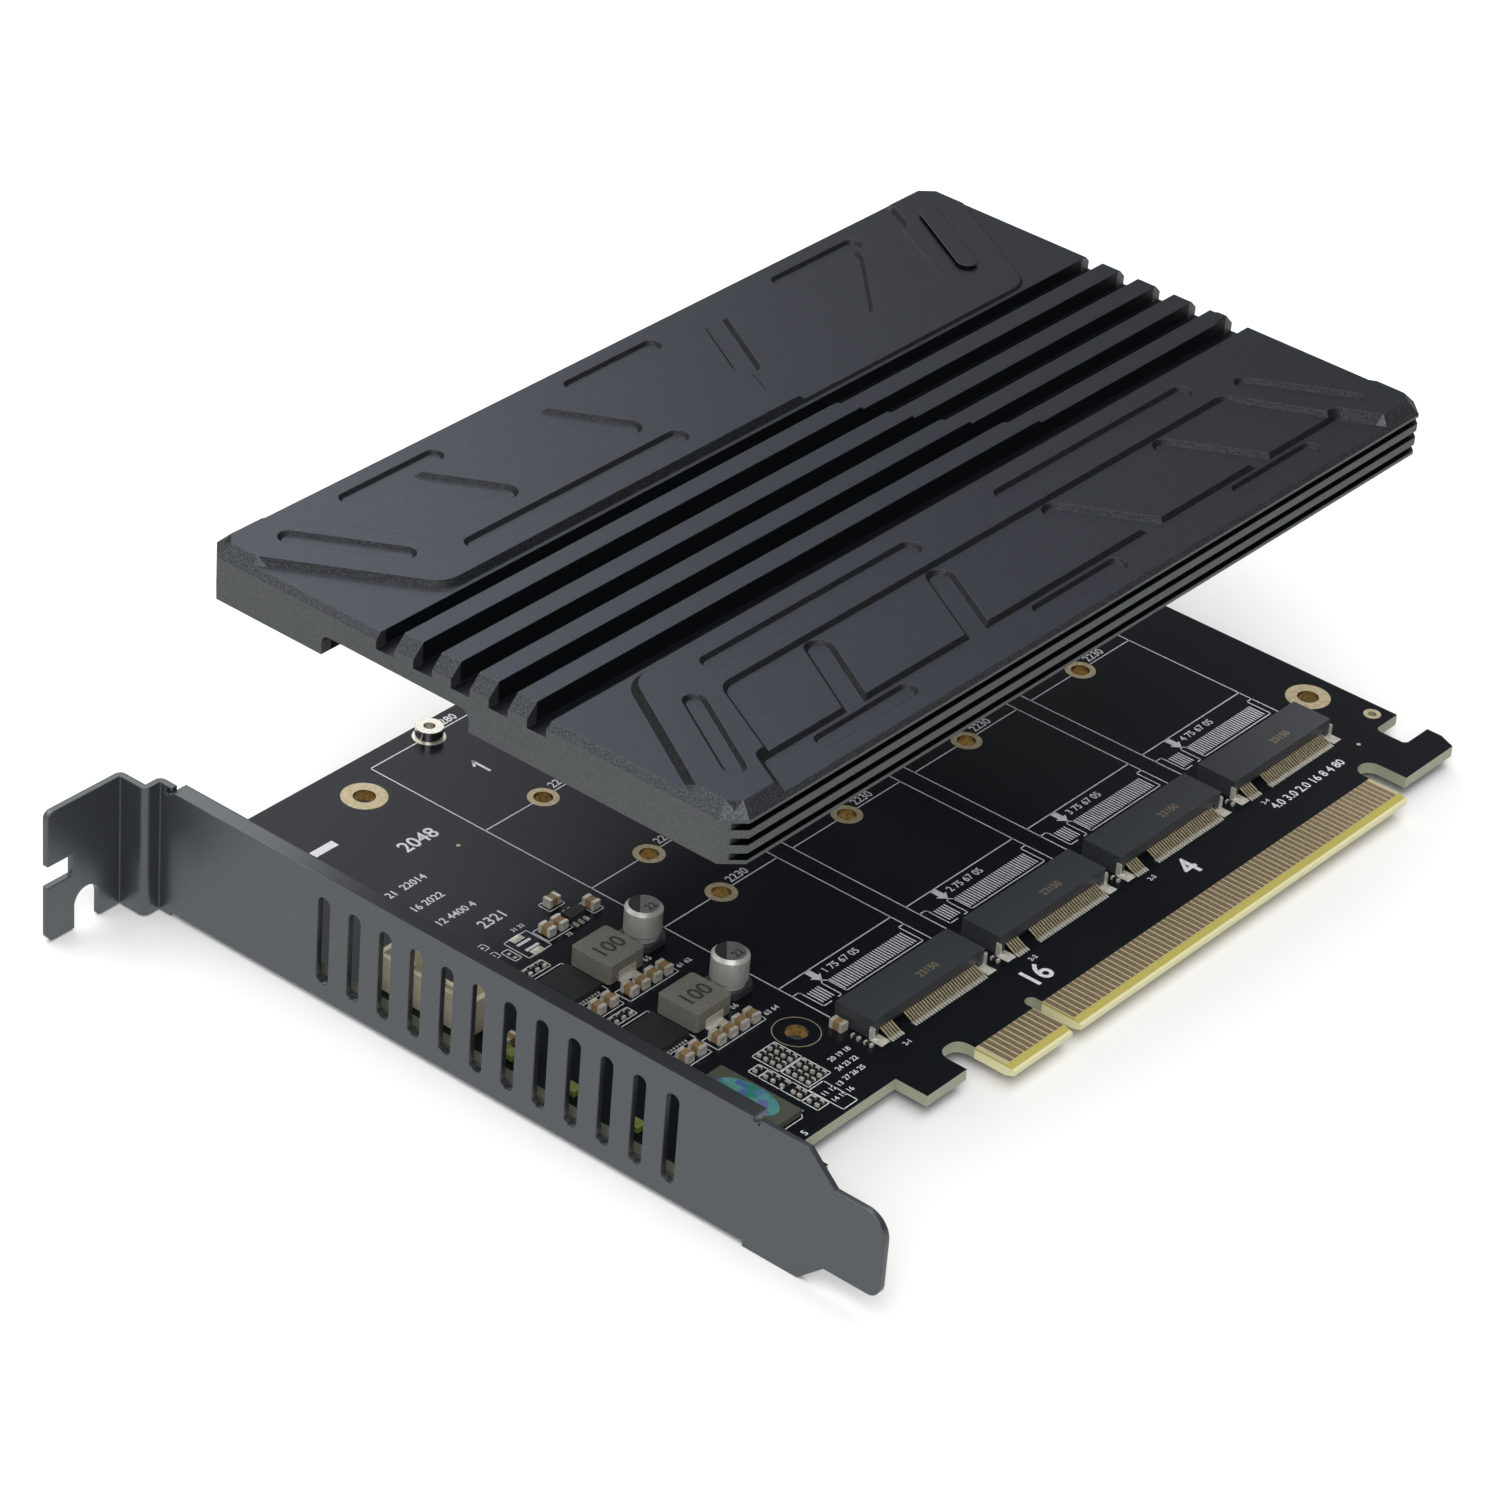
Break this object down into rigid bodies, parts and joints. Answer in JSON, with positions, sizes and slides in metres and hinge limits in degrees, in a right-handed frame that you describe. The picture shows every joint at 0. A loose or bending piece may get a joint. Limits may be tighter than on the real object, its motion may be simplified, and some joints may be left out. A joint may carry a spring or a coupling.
{
  "type": "nvme adapter card",
  "caption": "Expansion card with a slotted steel bracket, a row of M.2 drive sockets and a machined heat sink shown lifted off the board.",
  "frame": {"origin": "middle of the key notch at the end of the edge connector, on the board's component side", "axes": "+X along the card away from the bracket, +Y from the edge connector to the card's top edge, +Z out of the component side"},
  "size_m": [0.1624, 0.12, 0.0523],
  "materials": {
    "board_laminate": "satin black solder mask",
    "gold_contact": "gold plated",
    "bracket_steel": "satin grey-black coating",
    "screw_steel": "nickel plated",
    "heat_sink_aluminium": "fine blasted, black anodised",
    "thermal_pad": "soft matt",
    "socket_plastic": "moulded",
    "lead_metal": "tin plated",
    "plated_brass": "nickel plated",
    "can_aluminium": "bright drawn",
    "foot_plastic": "moulded",
    "ferrite": "pressed powder",
    "chip_plastic": "moulded epoxy",
    "label_film": "iridescent film",
    "header_plastic": "moulded nylon",
    "light_lens": "clear cast lens",
    "ceramic_body": "sintered",
    "resistor_body": "glazed film",
    "solder_end": "tin plated"
  },
  "bodies": {
    "root": {"bracket": "bracket_steel", "bracket_screws": "screw_steel", "capacitor_can_1": "can_aluminium", "capacitor_can_2": "can_aluminium", "capacitor_foot_1": "foot_plastic", "capacitor_foot_2": "foot_plastic", "ceramic_capacitor_bodies": "ceramic_body", "ceramic_capacitor_ends": "solder_end", "chip_resistor_bodies": "resistor_body", "chip_resistor_ends": "solder_end", "circuit_board": "board_laminate", "clock_chip": "chip_plastic", "clock_chip_leads": "lead_metal", "control_chip": "chip_plastic", "control_chip_leads": "lead_metal", "drive_socket_1": "socket_plastic", "drive_socket_2": "socket_plastic", "drive_socket_3": "socket_plastic", "drive_socket_4": "socket_plastic", "drive_standoffs": "plated_brass", "edge_contacts_back": "gold_contact", "edge_contacts_front": "gold_contact", "fan_header": "header_plastic", "fan_header_pins": "lead_metal", "heat_sink": "heat_sink_aluminium", "inductor_1": "ferrite", "inductor_2": "ferrite", "inductor_ends": "lead_metal", "oval_label": "label_film", "regulator_1": "chip_plastic", "regulator_2": "chip_plastic", "socket_contacts_1": "lead_metal", "socket_contacts_2": "lead_metal", "socket_contacts_3": "lead_metal", "socket_contacts_4": "lead_metal", "socket_hold_downs": "lead_metal", "status_lights": "light_lens", "thermal_pad_1": "thermal_pad", "thermal_pad_2": "thermal_pad", "thermal_pad_3": "thermal_pad", "thermal_pad_4": "thermal_pad"}
  },
  "joints": []
}
